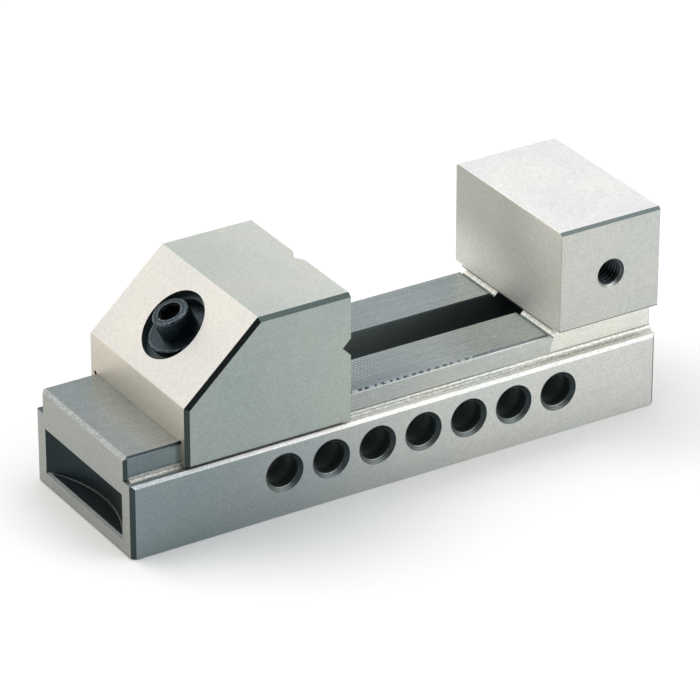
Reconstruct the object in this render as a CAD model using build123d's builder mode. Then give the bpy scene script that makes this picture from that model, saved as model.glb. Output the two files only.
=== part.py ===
from build123d import *
import os
from math import sin, cos, radians, sqrt

os.makedirs("parts", exist_ok=True)

# ---------------------------------------------------------------- driving sizes, mm
# frame: origin at the middle of the base's underside, +X towards the fixed jaw,
# -Y the side with the work-stop hole, +Z up

# body
length = 158.0            # overall, front end to rear end
width = 50.0              # overall
height = 58.0             # top of both jaws
shoulder_z = 20.85        # top of the base's side shoulders
rail_z = 27.7             # ground top of the two guide rails
rail_half = 21.7          # outside of the rails from the middle
rail_corner = 0.9         # chamfer on the rails' front corners
rail_edge = 0.7           # chamfer on the rails' outer top edges
rail_front_chamfer = 1.0  # chamfer on the front top edge of the rails
corner_chamfer = 1.1      # chamfer on the base's vertical corners
top_chamfer = 0.78        # chamfer on the shoulders' outer top edges
bottom_chamfer = 0.25     # chamfer round the underside
foot_r = 1.35             # wheel radius left along the foot of each rail
neck_inset = 0.2          # the neck lies this much inside the ground rail side
neck_top_x = 128.0        # wheel run-out at the neck, from the front end
neck_foot_x = 126.3
slot_half = 6.1           # slot between the rails
slot_front = 25.0         # slot ends, from the front end
slot_rear = 141.0
slot_lip = 0.35           # small chamfer on the rails' inner top edges

# fixed jaw, part of the body
jaw_face = 127.2          # clamping face, from the front end
clamp_ledge_z = 29.35     # underside of the fixed jaw over the side clamp grooves
jaw_edge_chamfer = 0.8
ledge_break = 0.22
neck_corner = 0.3         # chamfer on the neck's rear corners
relief_width = 1.63       # 45 degree relief groove at the foot of the clamping face
relief_depth = 1.8

# index holes through both sides of the base, and the cross pin
hole_first = 44.2
hole_pitch = 13.82
hole_count = 7
hole_z = 12.4
hole_r = 4.5
hole_mouth_r = 5.55

# clamp pocket in the front end, a shallow disc-cutter recess
pocket_half = 20.1
pocket_z0 = 4.3
pocket_z1 = 16.8
pocket_depth = 6.0
pocket_rim = 0.6

# work-stop hole in the near side of the fixed jaw
stop_x = 142.8
stop_z = 42.7
stop_r = 4.0                # thread's major radius
stop_mouth_r = 4.16
stop_depth = 16.0

# movable jaw
mj_front = 15.9           # front face, from the front end, jaw wide open
mj_length = 47.9
mj_leg_z = 21.75          # underside of the legs over the shoulders
mj_slant_z = 38.2         # lower edge of the slanted face
mj_slant_x = 37.3         # upper edge of the slanted face, from the front end
mj_edge_chamfer = 1.08
mj_leg_chamfer = 0.8
mj_leg_break = 0.22       # broken outer edge under each leg
guide_gap = 0.04          # running fit of the jaw on the rails
mj_corner_relief = 0.6    # radius of the relief in the channel's corners
vee_z = 43.0              # horizontal V in the clamping face
vee_half = 2.4
vee_cross_half = 3.0      # upright V in the clamping face
vee_cross_depth = 2.1
edge_break = 0.15         # small chamfer that breaks the jaws' ground edges

# clamp screw, washer and hook: their axis leans forward of upright at rest
lean = 25.7
swing = 16.0              # the screw can swing this much flatter
seat_x = 28.3             # centre of the ball seat, from the front end
seat_z = 46.9
ball_r = 8.4
ball_seat_r = 8.45
cbore_r = 9.97
cbore_shift = -0.25        # counterbore's middle from the ball centre, along the slanted face
cbore_depth = 2.05        # square to the slanted face, down to the ball centre's level
screw_r = 3.0
screw_length = 30.0
head_r = 5.0
head_h = 6.0
socket_af = 5.0
socket_depth = 3.0
washer_bore_r = 3.3
passage_half = 3.6
boss_top = 20.5           # along the screw from the ball centre
boss_end = 28.5
hook_half_y = 5.3
hook_front = 5.3          # hook's extent in front of the screw axis
hook_back = 8.0           # and behind it
lip_thickness = 3.2
lip_reach = 2.0           # lip's extent in front of the pin's centre
pin_r = 4.45
pin_length = 32.0
hook_gap = 0.05


def fx(d):
    """distance from the front end to the frame's x"""
    return d - length / 2


# ---------------------------------------------------------------- derived places
sx, sz = fx(seat_x), seat_z
# unit vectors in the XZ plane: a along the screw towards its tip, u square to it, rearward
ax, az = sin(radians(lean)), -cos(radians(lean))
ux, uz = cos(radians(lean)), sin(radians(lean))
bx, bz = sin(radians(lean + swing)), -cos(radians(lean + swing))
vx, vz = cos(radians(lean + swing)), sin(radians(lean + swing))
px, pz = fx(hole_first), hole_z
pin_a = (px - sx) * ax + (pz - sz) * az      # along the screw from ball centre to pin centre
pin_u = (px - sx) * ux + (pz - sz) * uz
print("pin along screw %.3f, across %.3f" % (pin_a, pin_u))

slant_len = sqrt((mj_slant_x - mj_front) ** 2 + (height - mj_slant_z) ** 2)
dx, dz = (mj_slant_x - mj_front) / slant_len, (height - mj_slant_z) / slant_len
nx, nz = -dz, dx                              # outward normal of the slanted face
seat_below = (fx(mj_front) - sx) * nx + (mj_slant_z - sz) * nz
seat_along = (sx - fx(mj_front)) * dx + (sz - mj_slant_z) * dz
print("ball centre %.3f below the slanted face, %.3f of %.3f along it" % (seat_below, seat_along, slant_len))


def sa(a, u):
    """point in the XZ plane, a along the screw and u square to it, from the ball centre"""
    return (sx + a * ax + u * ux, sz + a * az + u * uz)


def sb(a, u):
    """the same with the screw swung to its flattest"""
    return (sx + a * bx + u * vx, sz + a * bz + u * vz)


# Plane whose local x is +X and local y is +Z; its normal is -Y
SIDE = Plane.XZ

# ---------------------------------------------------------------- body with fixed jaw
with BuildPart() as body:
    with BuildSketch(Plane.XY) as base_plan:
        Rectangle(length, width)
        chamfer(base_plan.vertices(), corner_chamfer)
    extrude(amount=shoulder_z)
    base_top = body.faces().sort_by(Axis.Z)[-1]
    chamfer([e for e in base_top.edges() if e.length > length * 0.8], top_chamfer)
    chamfer(body.faces().sort_by(Axis.Z)[0].edges(), bottom_chamfer)
    # guide rails, flush with both ends
    with BuildSketch(Plane.XY.offset(shoulder_z)) as rail_plan:
        Rectangle(length, 2 * rail_half)
        chamfer(rail_plan.vertices().group_by(Axis.X)[0], rail_corner)
    extrude(amount=rail_z - shoulder_z)
    chamfer(body.edges().filter_by(Axis.Y).group_by(Axis.Z)[-1].sort_by(Axis.X)[0], rail_front_chamfer)
    rail_tops = [e for e in body.edges().filter_by(Axis.X)
                 if abs(abs(e.center().Y) - rail_half) < 1e-6 and abs(e.center().Z - rail_z) < 1e-6]
    chamfer(rail_tops, rail_edge)
    # neck and fixed jaw
    with BuildSketch(Plane.XY.offset(rail_z - 1)):
        with Locations((fx((jaw_face + length) / 2), 0)):
            Rectangle(length - jaw_face, 2 * rail_half)
    extrude(amount=clamp_ledge_z - rail_z + 2)
    with BuildSketch(Plane.XY.offset(clamp_ledge_z)):
        with Locations((fx((jaw_face + length) / 2), 0)):
            Rectangle(length - jaw_face, width)
    extrude(amount=height - clamp_ledge_z)
    chamfer(body.faces().sort_by(Axis.Z)[-1].edges().filter_by(Axis.X), jaw_edge_chamfer)
    # broken edges of the fixed jaw: top front and rear, and its four corners
    broken = [e for e in body.edges().filter_by(Axis.Y) if abs(e.center().Z - height) < 1e-6]
    broken += [e for e in body.edges().filter_by(Axis.Z)
               if abs(abs(e.center().Y) - width / 2) < 1e-6 and e.center().Z > clamp_ledge_z]
    chamfer(broken, edge_break)
    # slot between the rails, open below, closed over by the fixed jaw
    with BuildSketch(Plane.XY):
        with Locations((fx((slot_front + slot_rear) / 2), 0)):
            SlotOverall(slot_rear - slot_front, 2 * slot_half)
    extrude(amount=rail_z, mode=Mode.SUBTRACT)
    # small chamfer on the rails' inner top edges
    with BuildSketch(Plane.YZ.offset(fx(slot_front + slot_half))):
        with BuildLine():
            Polyline((-slot_half - slot_lip, rail_z + 0.01), (slot_half + slot_lip, rail_z + 0.01),
                     (slot_half - 0.01, rail_z - slot_lip), (-slot_half + 0.01, rail_z - slot_lip), close=True)
        make_face()
    extrude(amount=jaw_face - 1.2 - slot_front - slot_half, mode=Mode.SUBTRACT)
    # 45 degree relief at the foot of the clamping face, right across the rails
    r2 = sqrt(0.5)
    cx, cz = fx(jaw_face) - relief_width * r2, rail_z
    with BuildSketch(Plane.XZ.offset(-width / 2)):
        with BuildLine():
            Polyline((cx - 1.0, cz + 1.0), (cx + relief_depth * r2, cz - relief_depth * r2),
                     (cx + (relief_depth + relief_width) * r2, cz - (relief_depth - relief_width) * r2),
                     (cx + relief_width * r2 - 1.0, cz + relief_width * r2 + 1.0), close=True)
        make_face()
    extrude(amount=width, mode=Mode.SUBTRACT)
    # neck sides, a little inside the ground rails, ending in the cutter's run-out curve
    for y0 in (-rail_half - 1.0, rail_half - neck_inset):
        with BuildSketch(Plane.XZ.offset(-y0 - neck_inset - 1.0)):
            with BuildLine():
                Polyline((fx(neck_foot_x), shoulder_z), (fx(length + 1), shoulder_z), (fx(length + 1), clamp_ledge_z),
                         (fx(neck_top_x) + 1.6, clamp_ledge_z), (fx(neck_top_x), rail_z - 0.4))
                ThreePointArc((fx(neck_top_x), rail_z - 0.4),
                              (fx(neck_foot_x * 0.62 + neck_top_x * 0.38), (rail_z + shoulder_z) / 2 + 0.2),
                              (fx(neck_foot_x), shoulder_z))
            make_face()
        extrude(amount=neck_inset + 1.0, mode=Mode.SUBTRACT)
    # the neck's rear corners
    chamfer([e for e in body.edges().filter_by(Axis.Z)
             if abs(e.center().X - length / 2) < 1e-3 and abs(abs(e.center().Y) - rail_half + neck_inset) < 1e-3
             and shoulder_z < e.center().Z < clamp_ledge_z], neck_corner)
    # broken outer edges of the ledges under the fixed jaw
    chamfer([e for e in body.edges().filter_by(Axis.X)
             if abs(abs(e.center().Y) - width / 2) < 1e-6 and abs(e.center().Z - clamp_ledge_z) < 1e-6], ledge_break)
    # wheel radius along the foot of each rail
    for s in (-1, 1):
        y0 = s * (rail_half - neck_inset - 0.1)
        with BuildSketch(Plane.YZ.offset(fx(rail_corner + 0.3))):
            with BuildLine():
                h = shoulder_z
                k = foot_r * (1 - sqrt(0.5))
                Polyline((y0, h - 0.1), (y0, h + foot_r), (s * rail_half, h + foot_r))
                ThreePointArc((s * rail_half, h + foot_r), (s * (rail_half + k), h + k), (s * (rail_half + foot_r), h))
                Polyline((s * (rail_half + foot_r), h), (s * (rail_half + foot_r), h - 0.1), (y0, h - 0.1))
            make_face()
        extrude(amount=length - rail_corner - 0.3)
    # index holes through both sides, with chamfered mouths
    for i in range(hole_count):
        hx = fx(hole_first + i * hole_pitch)
        with BuildSketch(Plane.XZ.offset(-width / 2)):
            with Locations((hx, hole_z)):
                Circle(hole_r)
        extrude(amount=width, mode=Mode.SUBTRACT)
        for s in (-1, 1):
            d = hole_mouth_r - hole_r
            with BuildSketch(Plane.XZ.offset(s * (width / 2))):
                with Locations((hx, hole_z)):
                    Circle(hole_mouth_r)
            with BuildSketch(Plane.XZ.offset(s * (width / 2 - d))):
                with Locations((hx, hole_z)):
                    Circle(hole_r)
            loft(mode=Mode.SUBTRACT)
    # clamp pocket in the front end
    pr = (pocket_half ** 2 + pocket_depth ** 2) / (2 * pocket_depth)
    with BuildSketch(Plane.XY.offset(pocket_z0)):
        with Locations((fx(pocket_depth - pr), 0)):
            Circle(pr)
    extrude(amount=pocket_z1 - pocket_z0, mode=Mode.SUBTRACT)
    with BuildSketch(Plane.XZ.offset(-pocket_half)):
        with BuildLine():
            Polyline((fx(-0.01), pocket_z0 - pocket_rim), (fx(-0.01), pocket_z0 + 0.1),
                     (fx(pocket_rim + 0.1), pocket_z0 + 0.1), (fx(pocket_rim), pocket_z0), close=True)
        make_face()
    extrude(amount=2 * pocket_half, mode=Mode.SUBTRACT)
    # tapped work-stop hole in the fixed jaw's side, at its thread's major diameter
    with BuildSketch(Plane.XZ.offset(width / 2)):
        with Locations((fx(stop_x), stop_z)):
            Circle(stop_r)
    extrude(amount=-stop_depth, mode=Mode.SUBTRACT)
    with BuildSketch(Plane.XZ.offset(width / 2)):
        with Locations((fx(stop_x), stop_z)):
            Circle(stop_mouth_r)
    with BuildSketch(Plane.XZ.offset(width / 2 - (stop_mouth_r - stop_r))):
        with Locations((fx(stop_x), stop_z)):
            Circle(stop_r)
    loft(mode=Mode.SUBTRACT)
body.part.label = "body"
export_step(body.part, "parts/body.step")

# ---------------------------------------------------------------- movable jaw
mf, mb = fx(mj_front), fx(mj_front + mj_length)
with BuildPart() as movable_jaw:
    with BuildSketch(Plane.XZ.offset(-width / 2)):
        with BuildLine():
            Polyline((mf, mj_leg_z), (mf, mj_slant_z), (fx(mj_slant_x), height), (mb, height),
                     (mb, vee_z + vee_half), (mb - vee_half, vee_z), (mb, vee_z - vee_half),
                     (mb, mj_leg_z), close=True)
        make_face()
    extrude(amount=width)
    # chamfers along the side edges of the front, slanted and top faces
    side_edges = [e for e in movable_jaw.edges()
                  if abs(abs(e.center().Y) - width / 2) < 1e-6 and (
                      abs(e.center().X - mf) < 1e-6
                      or abs(e.center().Z - height) < 1e-6
                      or abs((e.center().X - (mf + fx(mj_slant_x)) / 2)) < 1e-3)]
    chamfer(side_edges, mj_edge_chamfer)
    # broken edges along the ridge, the foot of the slanted face and the top rear edge
    broken = [e for e in movable_jaw.edges().filter_by(Axis.Y)
              if (abs(e.center().X - fx(mj_slant_x)) < 1e-3 and abs(e.center().Z - height) < 1e-3)
              or (abs(e.center().X - mf) < 1e-3 and abs(e.center().Z - mj_slant_z) < 1e-3)
              or (abs(e.center().X - mb) < 1e-3 and abs(e.center().Z - height) < 1e-3)]
    chamfer(broken, edge_break)
    chamfer([e for e in movable_jaw.edges().filter_by(Axis.X)
             if abs(abs(e.center().Y) - width / 2) < 1e-6 and abs(e.center().Z - mj_leg_z) < 1e-6], mj_leg_break)
    # channel over the rails, with relieved corners
    with BuildSketch(Plane.YZ.offset(mf - 1)):
        with Locations((0, (mj_leg_z - 1 + rail_z + guide_gap) / 2)):
            Rectangle(2 * (rail_half + guide_gap), rail_z + guide_gap - mj_leg_z + 1)
        with Locations((-rail_half - guide_gap, rail_z + guide_gap), (rail_half + guide_gap, rail_z + guide_gap)):
            Circle(mj_corner_relief)
        # the legs' inner corners clear the radius at the rails' feet
        with BuildLine():
            Polyline((-rail_half - guide_gap - mj_leg_chamfer, mj_leg_z - 0.01), (rail_half + guide_gap + mj_leg_chamfer, mj_leg_z - 0.01),
                     (rail_half + guide_gap - 0.01, mj_leg_z + mj_leg_chamfer), (-rail_half - guide_gap + 0.01, mj_leg_z + mj_leg_chamfer),
                     close=True)
        make_face()
    extrude(amount=mj_length + 2, mode=Mode.SUBTRACT)
    # upright V in the clamping face
    with BuildSketch(Plane.XY.offset(rail_z - 2)):
        with BuildLine():
            Polyline((mb + 0.5, -vee_cross_half * (1 + 0.5 / vee_cross_depth)), (mb - vee_cross_depth, 0),
                     (mb + 0.5, vee_cross_half * (1 + 0.5 / vee_cross_depth)), close=True)
        make_face()
    extrude(amount=height - rail_z + 3, mode=Mode.SUBTRACT)
    # pocket in the underside where the hook swings, stopping short of the ball seat
    with BuildSketch(Plane.XZ.offset(-hook_half_y - 0.5)):
        with BuildLine():
            Polyline((fx(26.5), rail_z - 3), (fx(26.5), 30.5), (fx(38), 38.8), (fx(56.8), 38.8), (fx(56.8), rail_z - 3), close=True)
        make_face()
        with Locations((sx, sz)):
            Circle(boss_top - 0.5, mode=Mode.SUBTRACT)
    extrude(amount=2 * hook_half_y + 1.0, mode=Mode.SUBTRACT)
    # passage for the screw, a wedge as wide as the screw's swing
    with BuildSketch(Plane.XZ.offset(-passage_half)):
        with BuildLine():
            Polyline(sa(2, -passage_half), sa(boss_top + 1.5, -passage_half), sb(boss_top + 1.5, passage_half),
                     sb(2, passage_half), close=True)
        make_face()
    extrude(amount=2 * passage_half, mode=Mode.SUBTRACT)
    # ball seat
    with Locations((sx, 0, sz)):
        Sphere(ball_seat_r, mode=Mode.SUBTRACT)
    # counterbore square to the slanted face
    mid = (sx + seat_below * nx + cbore_shift * dx, 0, sz + seat_below * nz + cbore_shift * dz)
    with BuildSketch(Plane(origin=(mid[0] - nx * cbore_depth, 0, mid[2] - nz * cbore_depth),
                           x_dir=(0, 1, 0), z_dir=(nx, 0, nz))):
        Circle(cbore_r)
    extrude(amount=cbore_depth + 12, mode=Mode.SUBTRACT)
movable_jaw.part.label = "movable_jaw"
export_step(movable_jaw.part, "parts/movable_jaw.step")

# plane through the ball centre, local x rearward square to the screw, normal towards the head
SCREW = Plane(origin=(sx, 0, sz), x_dir=(ux, 0, uz), z_dir=(-ax, 0, -az))
# upright section plane: local x rearward square to the screw, local y towards the head
SECTION = Plane(origin=(sx, 0, sz), x_dir=(ux, 0, uz), z_dir=(0, -1, 0))

# ---------------------------------------------------------------- washer, flat above and spherical below
wb = sqrt(ball_r ** 2 - washer_bore_r ** 2)
with BuildPart() as spherical_washer:
    with BuildSketch(SECTION):
        with BuildLine():
            Polyline((washer_bore_r, -wb), (washer_bore_r, -0.25), (washer_bore_r + 0.25, 0), (ball_r - 0.3, 0),
                     (sqrt(ball_r ** 2 - 0.3 ** 2), -0.3))
            ThreePointArc((sqrt(ball_r ** 2 - 0.3 ** 2), -0.3), (ball_r * cos(radians(35)), -ball_r * sin(radians(35))),
                          (washer_bore_r, -wb))
        make_face()
    revolve(axis=Axis((sx, 0, sz), (ax, 0, az)))
spherical_washer.part.label = "spherical_washer"
export_step(spherical_washer.part, "parts/spherical_washer.step")

# ---------------------------------------------------------------- socket-head clamp screw
with BuildPart() as clamp_screw:
    with BuildSketch(SECTION):
        with BuildLine():
            Polyline((0, -screw_length), (screw_r - 0.6, -screw_length), (screw_r, -screw_length + 0.6), (screw_r, 0.02),
                     (head_r - 0.3, 0.02), (head_r, 0.3), (head_r, head_h - 0.5), (head_r - 0.5, head_h), (0, head_h), close=True)
        make_face()
    revolve(axis=Axis((sx, 0, sz), (ax, 0, az)))
    with BuildSketch(SCREW.offset(head_h - socket_depth)):
        RegularPolygon(socket_af / 2, 6, major_radius=False)
    extrude(amount=socket_depth + 1, mode=Mode.SUBTRACT)
    # lead-in cone of the socket, and the drill point below it
    with BuildSketch(SECTION):
        with BuildLine():
            Polyline((0, head_h + 0.01), (socket_af / 2 + 0.55, head_h + 0.01), (socket_af / 2 - 0.05, head_h - 0.35), (0, head_h - 0.35), close=True)
        make_face()
    revolve(axis=Axis((sx, 0, sz), (ax, 0, az)), mode=Mode.SUBTRACT)
    with BuildSketch(SECTION):
        with BuildLine():
            Polyline((0, head_h - socket_depth + 0.05), (2.3, head_h - socket_depth + 0.05), (2.3, head_h - socket_depth),
                     (0, head_h - socket_depth - 1.1), close=True)
        make_face()
    revolve(axis=Axis((sx, 0, sz), (ax, 0, az)), mode=Mode.SUBTRACT)
clamp_screw.part.label = "clamp_screw"
export_step(clamp_screw.part, "parts/clamp_screw.step")

# ---------------------------------------------------------------- hook threaded on the screw
pa = -pin_a                                   # the pin's centre in the section plane
pu = pin_u
pocket_r = pin_r + hook_gap
with BuildPart() as pull_hook:
    with BuildSketch(SECTION.offset(-hook_half_y)):
        with BuildLine():
            Polyline((-hook_front, -boss_top), (hook_back, -boss_top), (hook_back, pa - pocket_r - lip_thickness),
                     (-lip_reach, pa - pocket_r - lip_thickness), (-lip_reach, pa - pocket_r), (pu, pa - pocket_r))
            ThreePointArc((pu, pa - pocket_r), (pu + pocket_r * sqrt(0.5), pa - pocket_r * sqrt(0.5)), (pu + pocket_r, pa))
            Polyline((pu + pocket_r, pa), (pu + pocket_r, -boss_end), (-hook_front, -boss_end), (-hook_front, -boss_top))
        make_face()
    extrude(amount=2 * hook_half_y)
    # rounded outside corners at the back of the hook
    fillet(pull_hook.edges().filter_by(Axis.Y).group_by(Axis((0, 0, 0), (ux, 0, uz)))[-1], 2.4)
    with BuildSketch(SCREW.offset(-boss_end - 1)):
        Circle(screw_r + 0.05)
    extrude(amount=boss_end - boss_top + 2, mode=Mode.SUBTRACT)
pull_hook.part.label = "pull_hook"
export_step(pull_hook.part, "parts/pull_hook.step")

# ---------------------------------------------------------------- cross pin in the first index hole
ring_y = pin_length / 2 - 4.0
ring_minor = 0.8
ring_major = pin_r - 0.03 - ring_minor
with BuildPart() as locating_pin:
    with BuildSketch(Plane(origin=(px, 0, pz), x_dir=(1, 0, 0), z_dir=(0, 0, 1))):
        with BuildLine():
            Polyline((0, -pin_length / 2), (pin_r - 0.6, -pin_length / 2), (pin_r, -pin_length / 2 + 0.6),
                     (pin_r, ring_y - 0.95), (ring_major - ring_minor - 0.02, ring_y - 0.95),
                     (ring_major - ring_minor - 0.02, ring_y + 0.95), (pin_r, ring_y + 0.95),
                     (pin_r, pin_length / 2 - 0.6), (pin_r - 0.6, pin_length / 2), (0, pin_length / 2), close=True)
        make_face()
    revolve(axis=Axis((px, 0, pz), (0, 1, 0)))
    # tapped hole for pulling the pin out
    with BuildSketch(Plane(origin=(px, -pin_length / 2, pz), x_dir=(1, 0, 0), z_dir=(0, -1, 0))):
        Circle(1.65)
    extrude(amount=-10, mode=Mode.SUBTRACT)
locating_pin.part.label = "locating_pin"
export_step(locating_pin.part, "parts/locating_pin.step")

# ---------------------------------------------------------------- rubber ring in the pin's groove
with BuildPart() as pin_retaining_ring:
    with BuildSketch(Plane(origin=(px, 0, pz), x_dir=(1, 0, 0), z_dir=(0, 0, 1))):
        with Locations((ring_major, ring_y)):
            Circle(ring_minor)
    revolve(axis=Axis((px, 0, pz), (0, 1, 0)))
pin_retaining_ring.part.label = "pin_retaining_ring"
export_step(pin_retaining_ring.part, "parts/pin_retaining_ring.step")
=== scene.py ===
from math import sin, cos, pi, radians

import bmesh
import bpy
from mathutils import Matrix, Vector


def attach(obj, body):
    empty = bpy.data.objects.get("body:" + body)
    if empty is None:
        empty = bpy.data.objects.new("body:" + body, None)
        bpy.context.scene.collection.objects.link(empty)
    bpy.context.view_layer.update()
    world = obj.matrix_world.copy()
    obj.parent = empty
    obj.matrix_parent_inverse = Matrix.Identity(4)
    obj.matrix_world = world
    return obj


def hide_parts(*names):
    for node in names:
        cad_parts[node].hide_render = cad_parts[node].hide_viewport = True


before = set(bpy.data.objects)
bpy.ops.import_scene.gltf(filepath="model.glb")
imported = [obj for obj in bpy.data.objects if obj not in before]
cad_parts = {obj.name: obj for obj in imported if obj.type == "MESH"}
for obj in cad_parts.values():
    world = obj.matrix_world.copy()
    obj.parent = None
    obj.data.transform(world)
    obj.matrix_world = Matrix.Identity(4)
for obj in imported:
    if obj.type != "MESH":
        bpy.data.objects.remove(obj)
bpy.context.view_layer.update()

scene = bpy.context.scene
scene.view_settings.view_transform = "Standard"
scene.view_settings.look = "None"
MM = 0.001

# ---------------------------------------------------------------- camera at the photograph's angle
cam_data = bpy.data.cameras.new("camera")
cam_data.lens = 248.5275
cam_data.sensor_width = 36.0
cam_data.sensor_fit = "AUTO"
cam_data.clip_start, cam_data.clip_end = 0.05, 20.0
cam = bpy.data.objects.new("camera", cam_data)
right = Vector((0.85200118, -0.52353987, 0.0))
up = Vector((0.24384863, 0.39683571, 0.88490636))
back = Vector((-0.46328376, -0.75394126, 0.46576897))
cam.matrix_world = Matrix((
    (right.x, up.x, back.x, -0.578294),
    (right.y, up.y, back.y, -0.940940),
    (right.z, up.z, back.z, 0.607954),
    (0, 0, 0, 1)))
scene.collection.objects.link(cam)
scene.camera = cam


# ---------------------------------------------------------------- shader building
def lin(c):
    """a display value of 0 to 255 as scene-linear"""
    c = c / 255.0
    return c / 12.92 if c <= 0.04045 else ((c + 0.055) / 1.055) ** 2.4


def rgb(r, g, b):
    return (lin(r), lin(g), lin(b), 1.0)


class V:
    """A shader value whose sums, products and comparisons become Math nodes."""

    def __init__(self, tree, socket):
        self.t, self.s = tree, socket

    def op(self, name, *others):
        n = self.t.nodes.new("ShaderNodeMath")
        n.operation = name
        self.t.links.new(self.s, n.inputs[0])
        for i, o in enumerate(others, 1):
            if isinstance(o, V):
                self.t.links.new(o.s, n.inputs[i])
            else:
                n.inputs[i].default_value = o
        return V(self.t, n.outputs[0])

    def __add__(self, o):
        return self.op("ADD", o)

    def __sub__(self, o):
        return self.op("SUBTRACT", o)

    def __mul__(self, o):
        return self.op("MULTIPLY", o)

    def __and__(self, o):
        return self.op("MULTIPLY", o)

    def __or__(self, o):
        return self.op("MAXIMUM", o)

    def abs(self):
        return self.op("ABSOLUTE")

    def gt(self, x):
        return self.op("GREATER_THAN", x)

    def lt(self, x):
        return self.op("LESS_THAN", x)

    def near(self, x, e):
        return self.op("COMPARE", x, e)

    def between(self, a, b):
        return self.near((a + b) / 2.0, abs(b - a) / 2.0)

    def inv(self):
        return self.op("MULTIPLY_ADD", -1.0, 1.0)

    def ramp(self, a, b, c=0.0, d=1.0):
        """runs smoothly from c at a to d at b"""
        n = self.t.nodes.new("ShaderNodeMapRange")
        n.interpolation_type = "SMOOTHSTEP"
        n.inputs["From Min"].default_value = a
        n.inputs["From Max"].default_value = b
        n.inputs["To Min"].default_value = c
        n.inputs["To Max"].default_value = d
        self.t.links.new(self.s, n.inputs["Value"])
        return V(self.t, n.outputs["Result"])


class Mat:
    """A Principled material, with the point in millimetres and the flat face's direction as values."""

    def __init__(self, name, metallic, specular=0.5, anisotropic=0.0):
        self.m = bpy.data.materials.new(name)
        self.m.use_nodes = True
        self.t = self.m.node_tree
        self.bsdf = self.t.nodes["Principled BSDF"]
        self.bsdf.inputs["Metallic"].default_value = metallic
        self.bsdf.inputs["Specular IOR Level"].default_value = specular
        if anisotropic:
            self.bsdf.inputs["Anisotropic"].default_value = anisotropic
        tc = self.t.nodes.new("ShaderNodeTexCoord")
        sc = self.t.nodes.new("ShaderNodeVectorMath")
        sc.operation = "SCALE"
        sc.inputs["Scale"].default_value = 1000.0
        self.t.links.new(tc.outputs["Object"], sc.inputs[0])
        self.p = sc.outputs[0]
        self.x, self.y, self.z = self.split(self.p)
        geo = self.t.nodes.new("ShaderNodeNewGeometry")
        self.nx, self.ny, self.nz = self.split(geo.outputs["True Normal"])
        self.anx, self.any, self.anz = self.nx.abs(), self.ny.abs(), self.nz.abs()
        self.ax, self.ay = self.x.abs(), self.y.abs()

    def split(self, vec):
        n = self.t.nodes.new("ShaderNodeSeparateXYZ")
        self.t.links.new(vec, n.inputs[0])
        return [V(self.t, n.outputs[i]) for i in range(3)]

    def noise(self, scale, detail=2.0, rough=0.5, offset=(0, 0, 0), kind="noise"):
        """noise with that many cycles a millimetre along x, y and z"""
        n = self.t.nodes.new("ShaderNodeVectorMath")
        n.operation = "MULTIPLY_ADD"
        n.inputs[1].default_value = scale if isinstance(scale, tuple) else (scale,) * 3
        n.inputs[2].default_value = offset
        self.t.links.new(self.p, n.inputs[0])
        if kind == "voronoi":
            k = self.t.nodes.new("ShaderNodeTexVoronoi")
            k.inputs["Scale"].default_value = 1.0
            self.t.links.new(n.outputs[0], k.inputs["Vector"])
            return V(self.t, k.outputs["Distance"])
        k = self.t.nodes.new("ShaderNodeTexNoise")
        k.inputs["Scale"].default_value = 1.0
        k.inputs["Detail"].default_value = detail
        k.inputs["Roughness"].default_value = rough
        self.t.links.new(n.outputs[0], k.inputs["Vector"])
        return V(self.t, k.outputs["Fac"])

    def _in(self, socket, value):
        if isinstance(value, V):
            self.t.links.new(value.s, socket)
        elif isinstance(value, bpy.types.NodeSocket):
            self.t.links.new(value, socket)
        else:
            socket.default_value = value

    def mix(self, fac, a, b):
        """colour a where fac is 0 and b where it is 1"""
        n = self.t.nodes.new("ShaderNodeMix")
        n.data_type = "RGBA"
        self._in(n.inputs[0], fac)
        self._in(n.inputs[6], a)
        self._in(n.inputs[7], b)
        return n.outputs[2]

    def mixv(self, fac, a, b):
        n = self.t.nodes.new("ShaderNodeMix")
        n.data_type = "FLOAT"
        self._in(n.inputs[0], fac)
        self._in(n.inputs[2], a)
        self._in(n.inputs[3], b)
        return V(self.t, n.outputs[0])

    def scale(self, colour, by):
        n = self.t.nodes.new("ShaderNodeVectorMath")
        n.operation = "SCALE"
        self._in(n.inputs[0], colour)
        self._in(n.inputs["Scale"], by)
        return n.outputs[0]

    def bump(self, height, distance, strength=1.0):
        n = self.t.nodes.new("ShaderNodeBump")
        n.inputs["Strength"].default_value = strength
        n.inputs["Distance"].default_value = distance
        self._in(n.inputs["Height"], height)
        self.t.links.new(n.outputs[0], self.bsdf.inputs["Normal"])

    def finish(self, colour, roughness):
        self._in(self.bsdf.inputs["Base Color"], colour)
        self._in(self.bsdf.inputs["Roughness"], roughness)
        return self.m


def paint(M, start, regions):
    """start and each region are (mask, colour, roughness, grain, lines); later regions lie over earlier ones.
    grain is how rough the cut is, and lines is how much its grinding marks show."""
    colour, rough, grain, line = start
    for mask, c, r, g, l in regions:
        colour = M.mix(mask, colour, c)
        rough = M.mixv(mask, rough, r)
        grain = M.mixv(mask, grain, g)
        line = M.mixv(mask, line, l)
    return colour, rough, grain, line


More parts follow.
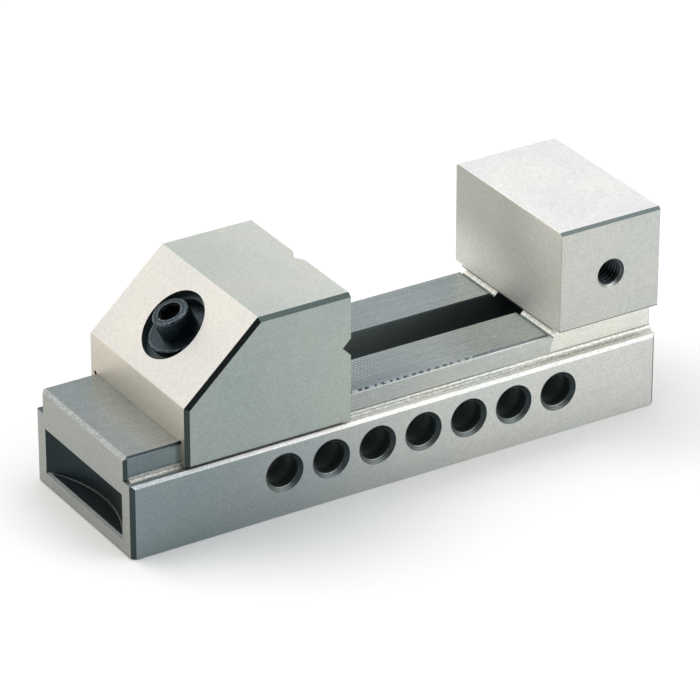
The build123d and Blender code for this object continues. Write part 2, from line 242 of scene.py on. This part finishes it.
def steel_finish(M, colour, rough, grain, line, across_x):
    """Grinding lines, fine grain and slow tone changes over the painted regions.
    across_x is the mask of the faces that were ground along y instead of x."""
    lx = M.noise((0.03, 1.9, 1.9), 4.0, 0.7)
    ly = M.noise((1.9, 0.03, 1.9), 4.0, 0.7, (3.1, 1.7, 5.2))
    lines = M.mixv(across_x, lx, ly) - 0.5
    fine = M.noise(2.3, 2.0, 0.7) - 0.5
    mott = M.noise(0.7, 2.0, 0.6, (7, 3, 1)) - 0.5
    slow = M.noise(0.05, 1.0, 0.5, (2, 9, 4))
    coarse = M.noise(1.15, 3.0, 0.75, (4, 4, 8)) - 0.5
    grit = M.noise(3.1, 1.0, 0.5, (6, 1, 9)) - 0.5
    k = lines * line * 0.5 + fine * 0.42 + grit * 0.34 + mott * 0.16 + (slow - 0.5) * 0.12 + coarse * grain * 1.1 + 1.0
    colour = M.scale(colour, k)
    tint = M.t.nodes.new("ShaderNodeVectorMath")
    tint.operation = "MULTIPLY"
    tint.inputs[1].default_value = (1.02, 1.0, 0.975)
    M.t.links.new(colour, tint.inputs[0])
    colour = M.mix(slow.ramp(0.35, 0.65), colour, tint.outputs[0])
    r = rough + mott * 0.10 + lines * line * 0.16
    height = lines * line * 0.55 + fine * 0.3 + coarse * grain * 1.6
    M.bump(height, 0.000010)
    return M.finish(colour, r)


# ---------------------------------------------------------------- body
def body_material():
    M = Mat("ground_steel_body", 0.92, 0.5)
    x, y, z, ax, ay = M.x, M.y, M.z, M.ax, M.ay
    nx, ny, nz, anx, any_, anz = M.nx, M.ny, M.nz, M.anx, M.any, M.anz
    tilt_yz = anz.between(0.6, 0.8) & any_.between(0.6, 0.8)
    tilt_xz = anz.between(0.6, 0.8) & anx.between(0.6, 0.8)
    tilt_xy = anx.between(0.6, 0.8) & any_.between(0.6, 0.8)
    up = nz.gt(0.9)
    side = any_.gt(0.9)
    low = z.lt(20.95)
    high = z.gt(29.3)
    along = x.ramp(-79, 60)
    # index holes, repeated along x
    u = ((x + 34.8 + 6.91) * (1 / 13.82)).op("FRACT").op("SUBTRACT", 0.5) * 13.82
    dz = z - 12.4
    hr = (u * u + dz * dz).op("SQRT")
    in_row = x.between(-34.8 - 6.9, 48.12 + 6.9)
    bore = hr.lt(4.56) & in_row & any_.lt(0.5)
    mouth = hr.between(4.53, 5.62) & in_row & any_.between(0.5, 0.85)
    # painted highlight: the countersinks are lighter low on their front side
    lit_low_front = ((u + dz) * -0.14).ramp(-0.75, 1.0)
    rings = (hr * 2.6 + M.noise(0.5, 2.0, 0.6) * 1.2).op("FRACT").ramp(0.2, 0.8)
    # work-stop hole, whose mouth gets a painted highlight low on its front side
    sx, sz = x - 63.8, z - 42.7
    stop = (sx * sx + sz * sz).op("SQRT").lt(4.3) & any_.lt(0.9) & y.lt(-5)
    slot = ay.lt(6.25) & z.between(-0.5, 27.6) & anz.lt(0.4) & x.between(-54.3, 62.3)
    pocket = x.between(-78.97, -72.5) & z.between(4.2, 16.9) & ay.lt(20.2)
    # painted highlight: a bright line where the pocket's curved back wall stands on its floor
    cx = x + 109.67
    pocket_edge_highlight = (cx * cx + y * y).op("SQRT").between(36.36, 36.72) & pocket & nz.gt(0.9)
    speck = M.noise((1.1, 1.7, 1.7), 3.0, 0.85, (8, 2, 6)).ramp(0.40, 0.56)
    foot = ay.between(21.3, 23.15) & any_.gt(0.03)
    rear = x.ramp(20, 50)
    fleck = M.noise((1.9, 1.9, 1.9), 2.0, 0.7, (1, 6, 2)).ramp(0.36, 0.62)
    # tool marks: dashes where the cutter broke the rails' edges, and scallops on their tops
    step = (x * 0.43 + M.noise(0.5, 2.0, 0.6, (5, 5, 1)) * 1.3).op("FRACT")
    dash = step.lt(0.52) | x.gt(24) | x.lt(-50)
    # painted shade: the dark dashes grow darker towards the front
    fade = x.ramp(-16, 44)
    dash_dark = M.mix(fade, rgb(62, 69, 76), rgb(112, 120, 122))
    dash_light = M.mix(fade, rgb(150, 159, 163), rgb(150, 156, 154))
    scallop = (x * 0.86 + y * 0.30 + M.noise(0.6, 2.0, 0.5) * 0.7).op("FRACT").ramp(0.25, 0.75) & \
        (y * 0.92 - x * 0.12).op("FRACT").ramp(0.3, 0.7) & x.ramp(-14, 16, 1.0, 0.0) & x.ramp(-36, -22) & ay.ramp(14, 19, 1.0, 0.0)
    # rail tops: painted shade, darkest just behind the movable jaw and lighter towards the rear; the scallops are tool
    # marks
    rail = M.mix(x.ramp(-79, -20), rgb(158, 167, 169), M.mix(x.ramp(-16, 20), rgb(138, 151, 155), rgb(172, 181, 182)))
    rail = M.mix(scallop, rail, rgb(206, 214, 218))
    groove = M.noise((0.3, 2.6, 0.3), 3.0, 0.7, (4, 8, 3)).ramp(0.34, 0.62)
    regions = [
        # base sides: painted shade, darker and bluer to the front and warmer to the rear
        (side & low, M.mix(along, rgb(132, 145, 149), rgb(209, 211, 207)), 0.42, 0.0, 0.3),
        (side & high, rgb(190, 194, 190), 0.42, 0.0, 0.25),
        # rail sides: painted dark reflection, darker towards the front
        (side & z.between(20.95, 29.3) & ay.between(21.6, 22), M.mix(along, rgb(106, 119, 123), rgb(190, 194, 190)), 0.26, 0.12, 0.9),
        (side & z.between(20.95, 29.3) & ay.between(21.0, 21.6), rgb(228, 229, 222), 0.45, 0.15, 0.5),
        (anx.gt(0.9) & ax.gt(78.8), rgb(160, 163, 158), 0.47, 0.3, 0.3),
        # clamping face: painted shade, darker towards the top on its far half
        (anx.gt(0.9) & x.between(47.9, 48.4), M.mix(y.ramp(-25, 2), rgb(226, 226, 219), M.mix(z.ramp(30, 48), rgb(226, 227, 220), rgb(190, 191, 184))), 0.62, 0.0, 0.4),
        # painted contact shadow along the foot of the clamping face
        (anx.gt(0.9) & x.between(47.9, 48.4) & z.lt(29.1), rgb(104, 102, 92), 0.5, 0.3, 0.4),
        (up & z.gt(57.5), rgb(231, 232, 233), 0.56, 0.0, 0.15),
        (up & z.near(27.7, 0.15), rail, 0.27, 0.05, M.mixv(x.ramp(-60, -18), 0.35, 1.0)),
        (up & z.near(27.7, 0.15) & x.gt(46.75), rgb(96, 106, 110), 0.4, 0.4, 0.4),
        # shoulder tops: painted shade, darker towards the front, and a painted dark reflection on the far shoulder's
        # front end
        (up & z.near(20.85, 0.1), M.mix(x.ramp(5, 45), M.mix(x.ramp(-79, -5), rgb(140, 150, 152), rgb(244, 244, 240)),
                                        rgb(234, 235, 227)), 0.58, 0.7, 0.4),
        (up & z.near(20.85, 0.1) & y.gt(21) & x.lt(-60), rgb(90, 102, 105), 0.5, 0.6, 0.4),
        # rough machined strips: rail foot, front chamfer, relief groove. The rail foot carries a painted highlight
        # along its fillet between painted shade lines, all lighter towards the rear
        (foot & z.between(20.87, 21.3), M.mix(speck, rgb(172, 175, 170), rgb(212, 213, 208)), 0.5, 0.6, 0.4),
        (foot & z.between(21.3, 21.52), M.mix(fleck, M.mix(rear, rgb(112, 115, 110), rgb(180, 181, 175)), M.mix(rear, rgb(164, 166, 159), rgb(204, 205, 198))),
         0.5, 0.6, 0.4),
        (foot & z.between(21.52, 22.1), M.mix(speck, M.mix(along, rgb(140, 147, 149), rgb(206, 207, 200)),
                                              M.mix(along, rgb(176, 181, 182), rgb(252, 252, 247))), 0.5, 0.4, 0.3),
        (foot & z.between(22.1, 22.4), M.mix(fleck, M.mix(rear, rgb(84, 90, 88), rgb(176, 177, 170)), M.mix(rear, rgb(132, 136, 131), rgb(206, 207, 200))),
         0.5, 0.5, 0.4),
        (tilt_xz & x.lt(-77), M.mix(speck, rgb(138, 146, 147), rgb(172, 178, 178)), 0.47, 0.5, 0.3),
        (tilt_xz & x.between(46, 51.5), M.mix(groove, rgb(192, 196, 192), rgb(234, 236, 231)), 0.5, 0.35, 0.2),
        (tilt_xz & nz.gt(0) & x.between(46, 51.5) & z.lt(26.75), rgb(120, 128, 130), 0.5, 0.4, 0.3),
        # side chamfers: painted reflections, nearly white on the base's top edges and darker towards the front, dark
        # on the far side's front, the rails' top edges, the fixed jaw's top edges, the vertical corners and the slot's
        # lips, lighter on the fixed jaw's vertical edges
        (tilt_yz & low & ay.gt(23), M.mix(x.ramp(-79, -20), M.mix(fleck, rgb(166, 174, 178), rgb(194, 200, 203)),
                                          M.mix(fleck, rgb(224, 226, 222), rgb(240, 240, 237))), 0.44, 0.12, 0.2),
        (tilt_yz & low & y.gt(23) & x.lt(-60), rgb(84, 94, 97), 0.42, 0.3, 0.3),
        (tilt_yz & z.between(26.9, 27.8) & ay.gt(20), M.mix(along, rgb(104, 114, 118), rgb(212, 214, 208)), 0.42, 0.5, 0.6),
        (tilt_yz & z.between(27.26, 27.8) & ay.gt(20), M.mix(dash, dash_light, dash_dark), 0.42, 0.5, 0.4),
        (tilt_yz & z.gt(57), rgb(112, 122, 122), 0.42, 0.3, 0.4),
        # painted shadow under the fixed jaw's ledge, on its broken edge and along the side's lowest strip
        (tilt_yz & z.between(29, 29.7), rgb(58, 63, 62), 0.45, 0.6, 0.4),
        (side & high & z.lt(29.72), M.mix(fleck, rgb(70, 74, 70), rgb(128, 132, 126)), 0.45, 0.5, 0.4),
        (tilt_xy & ay.gt(20), rgb(58, 68, 70), 0.42, 0.3, 0.4),
        (tilt_xy & high & x.lt(50), rgb(176, 177, 170), 0.42, 0.1, 0.2),
        (tilt_yz & ay.lt(7), rgb(60, 70, 72), 0.45, 0.4, 0.5),
        # cut-outs: the slot walls darker towards the rear, painted shade in the pocket and lighter on its floor, bores
        # darker towards their mouths, and painted highlights low on the front side of the hole mouths
        (slot, M.mix(x.ramp(-25, 40), rgb(140, 153, 152), rgb(108, 119, 119)), 0.62, 0.4, 0.8),
        (pocket, rgb(40, 50, 53), 0.42, 0.35, 0.8),
        (pocket & nz.gt(0.9), rgb(72, 85, 88), 0.42, 0.35, 0.8),
        (pocket_edge_highlight, rgb(226, 230, 228), 0.45, 0.3, 0.2),
        (tilt_xz & x.lt(-78) & z.lt(6), rgb(112, 118, 118), 0.45, 0.4, 0.4),
        (mouth, M.mix(lit_low_front, rgb(54, 64, 66), M.mix(rings, rgb(104, 113, 114), rgb(132, 140, 139))), 0.46, 0.5, 0.4),
        (bore, M.mix(ay.ramp(19, 22), rgb(140, 152, 152), rgb(68, 77, 78)), 0.75, 0.4, 0.6),
        (stop, M.mix(((sx + sz) * -0.17).ramp(-0.7, 1.0), rgb(70, 78, 80), rgb(206, 210, 206)), 0.42, 0.3, 0.4),
        (nz.lt(-0.9) & z.lt(0.2), rgb(182, 184, 181), 0.38, 0.0, 0.7),
    ]
    c, r, g, l = paint(M, (rgb(190, 191, 187), 0.42, 0.1, 0.5), regions)
    return steel_finish(M, c, r, g, l, anx.gt(0.5))


# ---------------------------------------------------------------- movable jaw
def jaw_material():
    M = Mat("ground_steel_jaw", 0.92, 0.5)
    x, y, z, ay = M.x, M.y, M.z, M.ay
    nx, ny, nz, anx, any_, anz = M.nx, M.ny, M.nz, M.anx, M.any, M.anz
    side = any_.gt(0.9) & ay.gt(24.9)
    slant = nx.between(-0.75, -0.6) & nz.between(0.65, 0.8) & any_.lt(0.05)
    chamfer_side = any_.between(0.6, 0.8) & ay.gt(23.8) & z.gt(21.8)
    # cut-outs: counterbore, ball seat, passage and hook pocket, all round the screw
    sx, sz = x + 50.7, z - 46.9
    square = sx * -0.679 + sz * 0.734            # height over the ball's centre, square to the slanted face
    inner = square.lt(1.98) & ay.lt(10.2) & z.between(28.0, 57.5) & x.between(-63.0, -21.6)
    channel = z.lt(28.6) & ay.lt(22.6) & anx.lt(0.5)
    fleck = M.noise((1.9, 1.9, 1.9), 2.0, 0.7, (1, 6, 2)).ramp(0.36, 0.62)
    stain = M.noise(1.2, 3.0, 0.7, (2, 5, 5)).ramp(0.3, 0.7)
    regions = [
        # sides and top: painted shade, a little darker towards the front
        (side, M.mix(x.ramp(-64, -14), rgb(150, 162, 160), rgb(164, 173, 169)), 0.44, 0.0, 0.22),
        (slant, rgb(203, 203, 200), 0.46, 0.0, 0.15),
        (nz.gt(0.9) & z.gt(57), M.mix(x.ramp(-45, -14), rgb(192, 197, 193), rgb(205, 209, 204)), 0.52, 0.0, 0.2),
        # front face: painted shade, darker towards the bottom
        (nx.lt(-0.9) & x.lt(-62.9), M.mix(z.ramp(24, 38), rgb(192, 187, 175), rgb(210, 204, 192)), 0.46, 0.1, 0.3),
        (nx.gt(0.9) & x.gt(-15.6), rgb(190, 190, 184), 0.36, 0.0, 0.6),
        (anx.between(0.5, 0.9) & x.gt(-18.2) & z.lt(57.6), rgb(120, 126, 127), 0.42, 0.3, 0.5),
        # chamfers: painted dark reflections, darkest on the front edges and beside the slanted face
        (chamfer_side, rgb(84, 94, 95), 0.42, 0.3, 0.4),
        (chamfer_side & nx.lt(-0.5), rgb(58, 66, 67), 0.42, 0.3, 0.4),
        (chamfer_side & nz.gt(0.45) & z.gt(56.8), rgb(84, 96, 94), 0.42, 0.3, 0.4),
        (chamfer_side & nz.between(0.45, 0.6), rgb(46, 52, 54), 0.42, 0.3, 0.4),
        # painted shadow along the lower edges of the legs, which are broken
        (any_.gt(0.5) & ay.gt(24) & z.lt(22.1) & x.lt(-17.6), M.mix(fleck, rgb(24, 30, 30), rgb(64, 72, 72)), 0.5, 0.4, 0.3),
        # counterbore and seat: painted shade deeper in, lighter in patches near the mouth
        (inner, M.mix(square.ramp(-0.3, 1.6), rgb(62, 74, 77), M.mix(stain, rgb(62, 74, 77), rgb(100, 111, 114))), 0.46, 0.3, 0.3),
        (channel, rgb(120, 126, 127), 0.38, 0.3, 0.6),
    ]
    c, r, g, l = paint(M, (rgb(186, 187, 182), 0.42, 0.1, 0.5), regions)
    return steel_finish(M, c, r, g, l, anx.gt(0.5))


# ---------------------------------------------------------------- black oxide, hardened steel, rubber
def oxide_material():
    M = Mat("black_oxide", 0.85, 0.5)
    mott = M.noise(0.9, 3.0, 0.65)
    fine = M.noise(4.5, 2.0, 0.6, (3, 3, 3))
    colour = M.mix(mott.ramp(0.35, 0.7), rgb(30, 41, 46), rgb(48, 60, 66))
    # along and round the screw's axis: painted shade in the socket, painted highlights on the rims, broken into
    # patches
    sx, sz = M.x + 50.7, M.z - 46.9
    t = sx * -0.4337 + sz * 0.9011
    u = sx * 0.9011 + sz * 0.4337
    r = (u * u + M.y * M.y).op("SQRT")
    wear = M.noise(2.2, 3.0, 0.8, (9, 1, 4)).ramp(0.44, 0.6)
    socket = r.lt(3.18) & t.between(1.7, 5.985)
    rim_highlight = (r.between(3.1, 3.4) & t.between(5.9, 6.1)) | (r.between(4.25, 4.85) & t.between(5.55, 6.1)) | (r.between(7.9, 8.5) & t.between(-0.45, 0.1))
    colour = M.mix(rim_highlight & wear, colour, rgb(104, 115, 121))
    colour = M.mix(socket, colour, rgb(15, 20, 21))
    colour = M.scale(colour, (fine - 0.5) * 0.6 + 1.0)
    M.bump(mott * 0.5 + fine * 0.5, 0.00002)
    return M.finish(colour, M.mixv(socket, (mott - 0.5) * 0.3 + 0.34, 0.7))


def hardened_material():
    M = Mat("hardened_steel", 0.9, 0.5)
    ring = M.noise((2.5, 0.3, 2.5), 2.0, 0.6)
    stain = M.noise(0.22, 3.0, 0.6, (5, 1, 2))
    colour = M.mix(stain.ramp(0.4, 0.7), rgb(150, 152, 154), rgb(112, 108, 104))
    colour = M.scale(colour, (ring - 0.5) * 0.3 + 1.0)
    M.bump(ring, 0.00001)
    return M.finish(colour, (ring - 0.5) * 0.15 + 0.34)


def rubber_material():
    M = Mat("rubber", 0.0, 0.35)
    n = M.noise(3.0, 3.0, 0.6)
    M.bump(n, 0.00002)
    return M.finish(M.mix(n, rgb(20, 20, 21), rgb(38, 38, 40)), (n - 0.5) * 0.2 + 0.62)


body_mat, jaw_mat = body_material(), jaw_material()
oxide, hardened, rubber = oxide_material(), hardened_material(), rubber_material()


def wear(node, mat):
    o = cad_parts[node]
    o.data.materials.clear()
    o.data.materials.append(mat)


wear("body", body_mat)
wear("movable_jaw", jaw_mat)
wear("spherical_washer", oxide)
wear("clamp_screw", oxide)
wear("pull_hook", hardened)
wear("locating_pin", hardened)
wear("pin_retaining_ring", rubber)


# ---------------------------------------------------------------- pieces with their threads
def made(name, verts, faces, mat, body, crease=32):
    """a closed mesh from points in metres and faces, riding on a body"""
    me = bpy.data.meshes.new(name)
    bm = bmesh.new()
    vs = [bm.verts.new(v) for v in verts]
    for f in faces:
        idx = []
        for i in f:
            if not idx or verts[i] != verts[idx[-1]]:
                idx.append(i)
        if len(idx) > 2 and len(set(idx)) == len(idx):
            bm.faces.new([vs[i] for i in idx])
    bmesh.ops.remove_doubles(bm, verts=bm.verts, dist=2e-7)
    bmesh.ops.dissolve_degenerate(bm, edges=bm.edges, dist=2e-7)
    loose = [v for v in bm.verts if not v.link_faces]
    bmesh.ops.delete(bm, geom=loose, context="VERTS")
    bmesh.ops.recalc_face_normals(bm, faces=bm.faces)
    open_edges = sum(1 for e in bm.edges if len(e.link_faces) != 2)
    print(name, "faces", len(bm.faces), "edges without two faces", open_edges)
    bm.to_mesh(me)
    bm.free()
    me.shade_smooth()
    me.set_sharp_from_angle(angle=radians(crease))
    me.materials.append(mat)
    o = bpy.data.objects.new(name, me)
    scene.collection.objects.link(o)
    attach(o, body)
    return o


def thread_rows(n, pitch, steps, profile, start, end, radius_at):
    """rows of n points that wind with the helix, from depth start to depth end.
    profile gives a radius for a phase of 0 to 1, and radius_at trims it for a depth."""
    rows = []
    count = int((end - start) / pitch + 3) * steps
    for j in range(count + 1):
        row = []
        for i in range(n):
            t = start + pitch * (j / steps + i / n - 1.0)
            c = min(max(t, start), end)
            row.append((radius_at(c, profile((j % steps) / steps), t != c), 2 * pi * i / n, c))
        rows.append(row)
    return rows, count


def screw_piece(mat):
    n = 96
    lean = radians(25.7)
    centre = Vector((-0.0507, 0, 0.0469))
    h, u, v = Vector((-sin(lean), 0, cos(lean))), Vector((cos(lean), 0, sin(lean))), Vector((0, 1, 0))
    verts, faces = [], []

    def put(r, th, t):
        verts.append(tuple(centre + (u * (r * cos(th)) + v * (r * sin(th)) + h * t) * MM))
        return len(verts) - 1

    def external(ph):
        if ph < 0.125:
            return 3.0
        if ph < 0.4375:
            return 3.0 - 0.613 * (ph - 0.125) / 0.3125
        if ph < 0.6875:
            return 2.387
        return 2.387 + 0.613 * (ph - 0.6875) / 0.3125

    def trim(d, r, clamped):
        if clamped:
            return 3.0 if d < 10 else 2.4
        run = min(1.0, max(0.0, (d - 1.6) / 1.0))
        return min(3.0 - (3.0 - r) * run, 2.4 + (30.0 - d))

    rows, count = thread_rows(n, 1.0, 8, external, 1.6, 30.0, trim)
    grid = [[put(r, th, -d) for r, th, d in row] for row in rows]
    for j in range(count):
        for i in range(n - 1):
            faces.append((grid[j][i], grid[j][i + 1], grid[j + 1][i + 1], grid[j + 1][i]))
    for j in range(count - 8):
        i = n - 1
        faces.append((grid[j][i], grid[j + 8][0], grid[j + 9][0], grid[j + 1][i]))
    tip = put(0, 0, -30.0)
    last = grid[count]
    for i in range(n):
        faces.append((last[i], last[(i + 1) % n], tip))
    # head, from the neck up and into the socket
    rings = [[put(3.0, 2 * pi * i / n, 0.02) for i in range(n)]]
    head = [(4.7, 0.02), (4.93, 0.1), (5.0, 0.3)]
    head += [(4.05 + 0.95 * cos(k * pi / 16), 5.05 + 0.95 * sin(k * pi / 16)) for k in range(9)]
    for r, t in head + [(3.14, 6.0)]:
        rings.append([put(r, 2 * pi * i / n, t) for i in range(n)])

    def hexagon(th):
        return 2.5 / cos((th % (pi / 3)) - pi / 6)

    turns = [2 * pi * i / n for i in range(n)]
    upper = [put(hexagon(th), th, 6.0 - (3.14 - hexagon(th)) * 1.1) for th in turns]
    lower = [put(hexagon(th), th, 3.0) for th in turns]
    rings += [upper, lower, [put(2.3, 2 * pi * i / n, 3.0) for i in range(n)]]
    chain = [grid[0]] + rings
    for a, b in zip(chain, chain[1:]):
        for i in range(n):
            faces.append((a[i], a[(i + 1) % n], b[(i + 1) % n], b[i]))
    pit = put(0, 0, 1.9)
    for i in range(n):
        faces.append((rings[-1][i], rings[-1][(i + 1) % n], pit))
    o = made("clamp_screw_threaded", verts, faces, mat, "screw")
    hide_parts("clamp_screw")
    return o


def stop_thread_piece(mat):
    """the M8 thread of the work-stop hole, a closed sleeve that fills its bore's wall"""
    n, steps = 72, 12
    verts, faces = [], []

    def put(r, th, d):
        verts.append(((63.8 + r * cos(th)) * MM, (-25.0 + d) * MM, (42.7 + r * sin(th)) * MM))
        return len(verts) - 1

    def internal(ph):
        if ph < 0.125:
            return 3.95
        if ph < 0.4375:
            return 3.95 - 0.61 * (ph - 0.125) / 0.3125
        if ph < 0.6875:
            return 3.34
        return 3.34 + 0.61 * (ph - 0.6875) / 0.3125

    def trim(d, r, clamped):
        if clamped:
            return 3.95
        return min(3.95, max(r, 4.17 - d))

    start, end = 0.22, 15.9
    rows, count = thread_rows(n, 1.25, steps, internal, start, end, trim)
    grid = [[put(r, th, d) for r, th, d in row] for row in rows]
    for j in range(count):
        for i in range(n - 1):
            faces.append((grid[j][i], grid[j][i + 1], grid[j + 1][i + 1], grid[j + 1][i]))
    for j in range(count - steps):
        i = n - 1
        faces.append((grid[j][i], grid[j + steps][0], grid[j + steps + 1][0], grid[j + 1][i]))
    outer0 = [put(3.97, 2 * pi * i / n, start) for i in range(n)]
    outer1 = [put(3.97, 2 * pi * i / n, end) for i in range(n)]
    for a, b in ((grid[0], outer0), (outer0, outer1), (outer1, grid[count])):
        for i in range(n):
            faces.append((a[i], a[(i + 1) % n], b[(i + 1) % n], b[i]))
    o = made("stop_hole_thread", verts, faces, mat, "base")
    return o


def tapped_material():
    M = Mat("tapped_steel", 0.9, 0.5)
    n = M.noise(1.4, 3.0, 0.7)
    f = M.noise(5.0, 2.0, 0.6, (2, 2, 2))
    # painted highlight low on the front side of the mouth's cone, and painted shade on the thread deeper in
    low = (((M.x - 63.8) + (M.z - 42.7)) * -0.17).ramp(-0.7, 1.0)
    cone = M.y.lt(-24.0)
    thread = M.mix(n.ramp(0.35, 0.65), rgb(40, 48, 50), rgb(66, 74, 76))
    colour = M.mix(cone, thread, M.mix(low, rgb(74, 82, 84), rgb(204, 208, 204)))
    M.bump(n * 0.6 + f * 0.4, 0.000012)
    return M.finish(M.scale(colour, (f - 0.5) * 0.4 + 1.0), (n - 0.5) * 0.2 + 0.34)


screw_piece(oxide)
stop_thread_piece(tapped_material())


# ---------------------------------------------------------------- floor, world and lights
def stage_floor():
    n, rad = 96, 4.0
    mesh = bpy.data.meshes.new("floor")
    verts = [(0, 0, -0.00003)] + [(rad * cos(2 * pi * i / n), rad * sin(2 * pi * i / n), -0.00003) for i in range(n)]
    mesh.from_pydata(verts, [], [(0, 1 + i, 1 + (i + 1) % n) for i in range(n)])
    o = bpy.data.objects.new("floor", mesh)
    scene.collection.objects.link(o)
    m = bpy.data.materials.new("floor_paper")
    m.use_nodes = True
    t = m.node_tree
    b = t.nodes["Principled BSDF"]
    b.inputs["Specular IOR Level"].default_value = 0.1
    tc = t.nodes.new("ShaderNodeTexCoord")
    nz = t.nodes.new("ShaderNodeTexNoise")
    nz.inputs["Scale"].default_value = 900.0
    t.links.new(tc.outputs["Object"], nz.inputs["Vector"])
    mx = t.nodes.new("ShaderNodeMix")
    mx.data_type = "RGBA"
    t.links.new(nz.outputs["Fac"], mx.inputs[0])
    mx.inputs[6].default_value = (0.90, 0.90, 0.895, 1)
    mx.inputs[7].default_value = (0.93, 0.93, 0.925, 1)
    t.links.new(mx.outputs[2], b.inputs["Base Color"])
    b.inputs["Roughness"].default_value = 0.8
    # seen from below the paper is clear, so that the underside can be looked at
    geo = t.nodes.new("ShaderNodeNewGeometry")
    clear = t.nodes.new("ShaderNodeBsdfTransparent")
    ms = t.nodes.new("ShaderNodeMixShader")
    t.links.new(geo.outputs["Backfacing"], ms.inputs[0])
    t.links.new(b.outputs[0], ms.inputs[1])
    t.links.new(clear.outputs[0], ms.inputs[2])
    t.links.new(ms.outputs[0], t.nodes["Material Output"].inputs["Surface"])
    mesh.materials.append(m)


def studio_world():
    w = bpy.data.worlds.new("studio")
    scene.world = w
    w.use_nodes = True
    t = w.node_tree
    bg = t.nodes["Background"]
    tc = t.nodes.new("ShaderNodeTexCoord")

    def toward(d):
        n = t.nodes.new("ShaderNodeVectorMath")
        n.operation = "DOT_PRODUCT"
        v = Vector(d).normalized()
        n.inputs[1].default_value = v
        t.links.new(tc.outputs["Generated"], n.inputs[0])
        return V(t, n.outputs["Value"])

    def blob(d, inner, outer):
        return toward(d).ramp(cos(radians(outer)), cos(radians(inner)))

    rear_left = blob((-0.50, 0.72, 0.50), 18, 46)
    overhead = blob((0.1, 0.15, 0.98), 24, 56)
    front_right = blob((0.463, -0.466, 0.754), 12, 30)
    lens_side = blob((-0.49, -0.66, 0.57), 14, 32)
    value = (rear_left * 0.75 + overhead * 1.0 + front_right * 0.6 + 0.5) * (lens_side * -0.92 + 1.0)
    col = t.nodes.new("ShaderNodeMix")
    col.data_type = "RGBA"
    t.links.new(blob((-0.43, 0.75, 0.49), 20, 60).s, col.inputs[0])
    col.inputs[6].default_value = (0.965, 0.985, 1.0, 1)
    col.inputs[7].default_value = (1.0, 0.965, 0.925, 1)
    sc = t.nodes.new("ShaderNodeVectorMath")
    sc.operation = "SCALE"
    t.links.new(col.outputs[2], sc.inputs[0])
    t.links.new(value.s, sc.inputs["Scale"])
    # plain pale backdrop behind the floor's edge
    lp = t.nodes.new("ShaderNodeLightPath")
    mx = t.nodes.new("ShaderNodeMix")
    mx.data_type = "RGBA"
    t.links.new(lp.outputs["Is Camera Ray"], mx.inputs[0])
    t.links.new(sc.outputs[0], mx.inputs[6])
    mx.inputs[7].default_value = (0.93, 0.93, 0.93, 1)
    t.links.new(mx.outputs[2], bg.inputs["Color"])
    bg.inputs["Strength"].default_value = 1.0


def softbox(name, at, aim, size, radiance, colour=(1, 1, 1)):
    d = bpy.data.lights.new(name, "AREA")
    d.shape = "RECTANGLE"
    d.size, d.size_y = size
    d.energy = radiance * pi * size[0] * size[1]
    d.color = colour
    o = bpy.data.objects.new(name, d)
    o.location = Vector(at)
    o.rotation_mode = "QUATERNION"
    o.rotation_quaternion = (Vector(aim) - Vector(at)).to_track_quat("-Z", "Y")
    o.visible_camera = False
    scene.collection.objects.link(o)
    return o


stage_floor()
studio_world()
softbox("box_right", (0.34, -0.40, 0.17), (0.04, -0.02, 0.03), (0.30, 0.22), 2.2, (1.0, 0.985, 0.96))
softbox("box_over", (-0.25, 0.45, 0.85), (0, 0, 0.03), (0.5, 0.5), 1.6)
